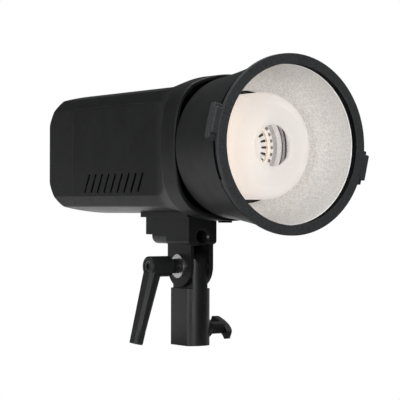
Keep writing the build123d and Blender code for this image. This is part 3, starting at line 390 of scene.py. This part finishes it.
def bead(name, place, radius, thickness, material, body, around=144, across=10):
    """Round wire ring about local Z of a place."""
    vertices = []
    for i in range(around):
        turn = 2 * pi * i / around
        for j in range(across):
            roll = 2 * pi * j / across
            reach = radius + thickness * cos(roll)
            vertices.append(place @ Vector((reach * cos(turn), reach * sin(turn), thickness * sin(roll))))
    faces = []
    for i in range(around):
        for j in range(across):
            corner = [(i, j), (i + 1, j), (i + 1, j + 1), (i, j + 1)]
            faces.append([(a % around) * across + b % across for a, b in corner])
    add_piece(name, vertices, faces, material, body)


def studs(name, place, radius, size, count, material, body):
    """Small blocks in a ring about local Z of a place; size is radial, tangential, high."""
    vertices, faces = [], []
    sides = ((0, 1, 3, 2), (4, 6, 7, 5), (0, 4, 5, 1), (2, 3, 7, 6), (0, 2, 6, 4), (1, 5, 7, 3))
    for k in range(count):
        turn = Matrix.Rotation(2 * pi * k / count, 4, "Z")
        base = len(vertices)
        for i in (-0.5, 0.5):
            for j in (-0.5, 0.5):
                for h in (0.0, 1.0):
                    corner = Vector((radius + i * size[0], j * size[1] * (1.0 + 0.5 * i), h * size[2]))
                    vertices.append(place @ turn @ corner)
        faces.extend([[base + corner for corner in side] for side in sides])
    add_piece(name, vertices, faces, material, body, smooth=False)


def lamp_details():
    """Gold ring in the lens cup, dark contacts round its button and the wire on the flash tube."""
    low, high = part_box("centre_lens")
    cup_radius = (high.y - low.y) / 2
    in_cup = on_lamp_axis(high.x - 1.4 * MM)
    bead("lamp_gold_ring", in_cup, cup_radius - 2.4 * MM, 0.4 * MM, finishes["gold"], "head")
    tube_low, tube_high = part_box("flash_tube")
    on_tube = on_lamp_axis(tube_high.x - 0.6 * MM)
    wire_radius = (tube_high.y - tube_low.y) / 2 - 0.6 * MM
    bead("lamp_trigger_wire", on_tube, wire_radius, 0.55 * MM, finishes["component_dark"], "head")
    cup_floor = on_lamp_axis(low.x + 0.8 * MM)
    contact_size = (4.2 * MM, 1.7 * MM, 1.2 * MM)
    studs("lamp_contacts", cup_floor, cup_radius * 0.76, contact_size, 22, finishes["component_dark"], "head")


def bowl_bead():
    """Rolled edge at the front of the bowl, in a faintly glowing white that paints its highlight."""
    edge = on_lamp_axis(BOWL_FRONT - 0.2 * MM)
    bead("bowl_bead", edge, BOWL_RADIUS - 1.1 * MM, 0.7 * MM, finishes["painted_highlight_edge"], "reflector")


def rim_painted_shade(around=144):
    """Near-black sheet on the front ring's inner wall: painted shade for the dark gap inside the ring."""
    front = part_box("front_ring")[1].x - 0.2 * MM
    back = BOWL_FRONT + 0.6 * MM
    radius = BOWL_RADIUS - 1.55 * MM
    vertices = []
    for i in range(around):
        turn = 2 * pi * i / around
        y, z = radius * cos(turn), AXIS_Z + radius * sin(turn)
        vertices.extend([(front, y, z), (back, y, z)])
    count = len(vertices)
    faces = [[i, i + 1, (i + 3) % count, (i + 2) % count] for i in range(0, count, 2)]
    add_piece("rim_painted_shade", vertices, faces, finishes["painted_shade_black"], "rim")


def lever_screw_rim():
    """Bright worn edge round the lever's screw head."""
    low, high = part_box("lever_screw")
    centre = middle("lever_screw")
    thickness = 0.35 * MM
    radius = (high.x - low.x) / 2 - thickness
    edge = along((0, 1, 0), (centre.x, low.y + 0.5 * MM, centre.z))
    bead("lever_screw_rim", edge, radius, thickness, finishes["bright_steel"], "lever_hub")


def lever_coil():
    """The lever's spring, copied onto the lever hub in place of the CAD node."""
    coil = bpy.data.objects.new("lever_coil", NODES["lever_spring"].data.copy())
    bpy.context.scene.collection.objects.link(coil)
    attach(coil, "lever_hub")
    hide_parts("lever_spring")
    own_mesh(coil)


lamp_details()
bowl_bead()
rim_painted_shade()
lever_screw_rim()
lever_coil()


# Studio --------------------------------------------------------------------------
CAMERA_AT = Vector((1.1776, -0.7716, 0.1157))
CAMERA_HEADING = radians(146.43)  # direction of view about Z, from +X
CAMERA_TILT = radians(0.37)  # upwards
CAMERA_ROLL = radians(0.13)
CAMERA_LENS = 146.8  # mm on a 36 mm sensor
FILL = 0.10  # strength of the surroundings as a light
BODY_MIDDLE = (0.0, 0.0, 0.15)
BOWL_MIDDLE = (0.12, 0.0, 0.168)


def camera():
    """Camera at the photograph's viewing angle."""
    data = bpy.data.cameras.new("camera")
    data.lens = CAMERA_LENS
    data.sensor_width = 36.0
    data.clip_start = 0.05
    data.clip_end = 50.0
    item = bpy.data.objects.new("camera", data)
    bpy.context.scene.collection.objects.link(item)
    view = Vector((
        cos(CAMERA_TILT) * cos(CAMERA_HEADING),
        cos(CAMERA_TILT) * sin(CAMERA_HEADING),
        sin(CAMERA_TILT),
    ))
    level = view.to_track_quat("-Z", "Y").to_matrix()
    item.rotation_euler = (level @ Matrix.Rotation(CAMERA_ROLL, 3, "Z")).to_euler()
    item.location = CAMERA_AT
    bpy.context.scene.camera = item


def softbox(name, at, towards, width, height, power):
    """Rectangular area light that faces a point."""
    data = bpy.data.lights.new(name, "AREA")
    data.shape = "RECTANGLE"
    data.size = width
    data.size_y = height
    data.energy = power
    item = bpy.data.objects.new(name, data)
    item.location = at
    item.rotation_euler = (Vector(towards) - Vector(at)).to_track_quat("-Z", "Y").to_euler()
    item.visible_camera = False
    bpy.context.scene.collection.objects.link(item)


def bounce_card():
    """White card that lights the body's underside, and shades nothing when the head tilts below it."""
    mesh = bpy.data.meshes.new("bounce_card")
    corners = [(-5.0, -1.3), (0.05, -1.3), (0.05, 4.0), (-5.0, 4.0)]
    mesh.from_pydata([(x, y, FLOOR_Z - 2 * MM) for x, y in corners], [], [(0, 1, 2, 3)])
    item = bpy.data.objects.new("bounce_card", mesh)
    bpy.context.scene.collection.objects.link(item)
    item.visible_camera = False
    item.visible_shadow = False
    shader = Shader("bounce_card", Roughness=0.9)
    tone = shader.noise(0.4, 2.0)
    mesh.materials.append(shader.finish(
        Base_Color=shader.mix(shader.remap(tone, 0.3, 0.7), grey(0.86), grey(0.89))
    ))


def backdrop():
    """Plain white surroundings for the camera that give the object only a faint fill."""
    world = bpy.data.worlds.new("studio")
    world.use_nodes = True
    tree = world.node_tree
    tree.nodes.clear()
    choose = tree.nodes.new("ShaderNodeMixShader")
    for index, strength in ((1, FILL), (2, 1.0)):
        ground = tree.nodes.new("ShaderNodeBackground")
        ground.inputs["Color"].default_value = (1.0, 1.0, 1.0, 1.0)
        ground.inputs["Strength"].default_value = strength
        tree.links.new(ground.outputs["Background"], choose.inputs[index])
    seen = tree.nodes.new("ShaderNodeLightPath").outputs["Is Camera Ray"]
    tree.links.new(seen, choose.inputs["Fac"])
    tree.links.new(choose.outputs["Shader"], tree.nodes.new("ShaderNodeOutputWorld").inputs["Surface"])
    bpy.context.scene.world = world


def sun(name, heading, height, strength, spread):
    """Distant light from a heading and height in degrees, softened by its spread."""
    data = bpy.data.lights.new(name, "SUN")
    data.energy = strength
    data.angle = radians(spread)
    item = bpy.data.objects.new(name, data)
    level = cos(radians(height))
    source = Vector((level * cos(radians(heading)), level * sin(radians(heading)), sin(radians(height))))
    item.rotation_euler = (-source).to_track_quat("-Z", "Y").to_euler()
    bpy.context.scene.collection.objects.link(item)


camera()
bounce_card()
backdrop()
sun("overhead", 120, 86, 2.6, 50)
softbox("side", (-0.3, -1.9, 0.5), BODY_MIDDLE, 0.9, 0.9, 4.6)
softbox("front", (1.5, -0.35, 0.30), BODY_MIDDLE, 0.20, 0.9, 6.0)
softbox("key", (1.15, -1.25, 0.55), BOWL_MIDDLE, 0.10, 0.10, 1.0)
softbox("bowl", (0.9, -1.2, 0.17), BOWL_MIDDLE, 0.3, 0.3, 5.5)
softbox("behind", (-1.3, 0.9, -0.25), BODY_MIDDLE, 1.2, 0.5, 8.0)
bpy.context.scene.view_settings.view_transform = "Standard"
